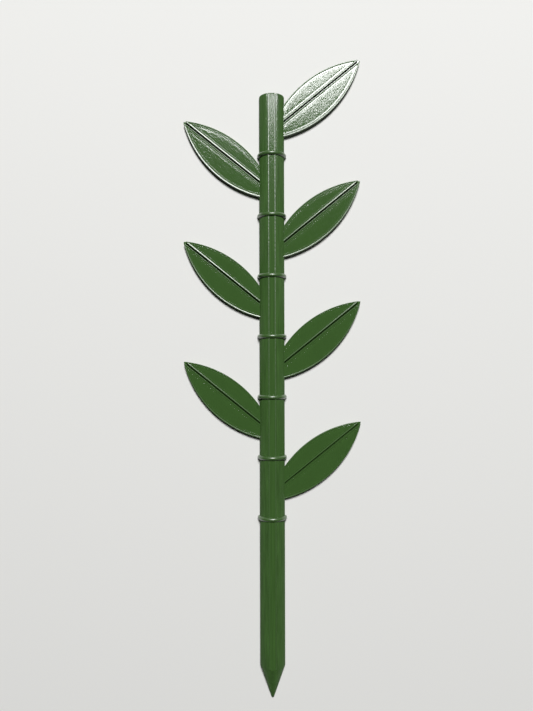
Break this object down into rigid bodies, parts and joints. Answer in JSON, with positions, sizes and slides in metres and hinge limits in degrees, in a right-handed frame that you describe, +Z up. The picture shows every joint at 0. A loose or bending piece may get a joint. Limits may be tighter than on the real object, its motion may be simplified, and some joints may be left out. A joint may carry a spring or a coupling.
{
  "type": "plant stake",
  "caption": "Flat-backed plant stake shaped like a bamboo cane, with raised rings, lens-shaped side leaves with midrib grooves, and a pointed end for pushing into soil.",
  "frame": {"origin": "centre of the bounding box's underside, on the stem's centre line and in the plane of the flat back", "axes": "+Z up from the flat back, +Y along the stem towards its square end, +X to the side of the leaf nearest the square end"},
  "size_m": [0.0734, 0.2644, 0.006],
  "materials": {
    "green_plastic": "semi-gloss olive green with fine print lines"
  },
  "bodies": {
    "root": {"bamboo_stake": "green_plastic"}
  },
  "joints": []
}
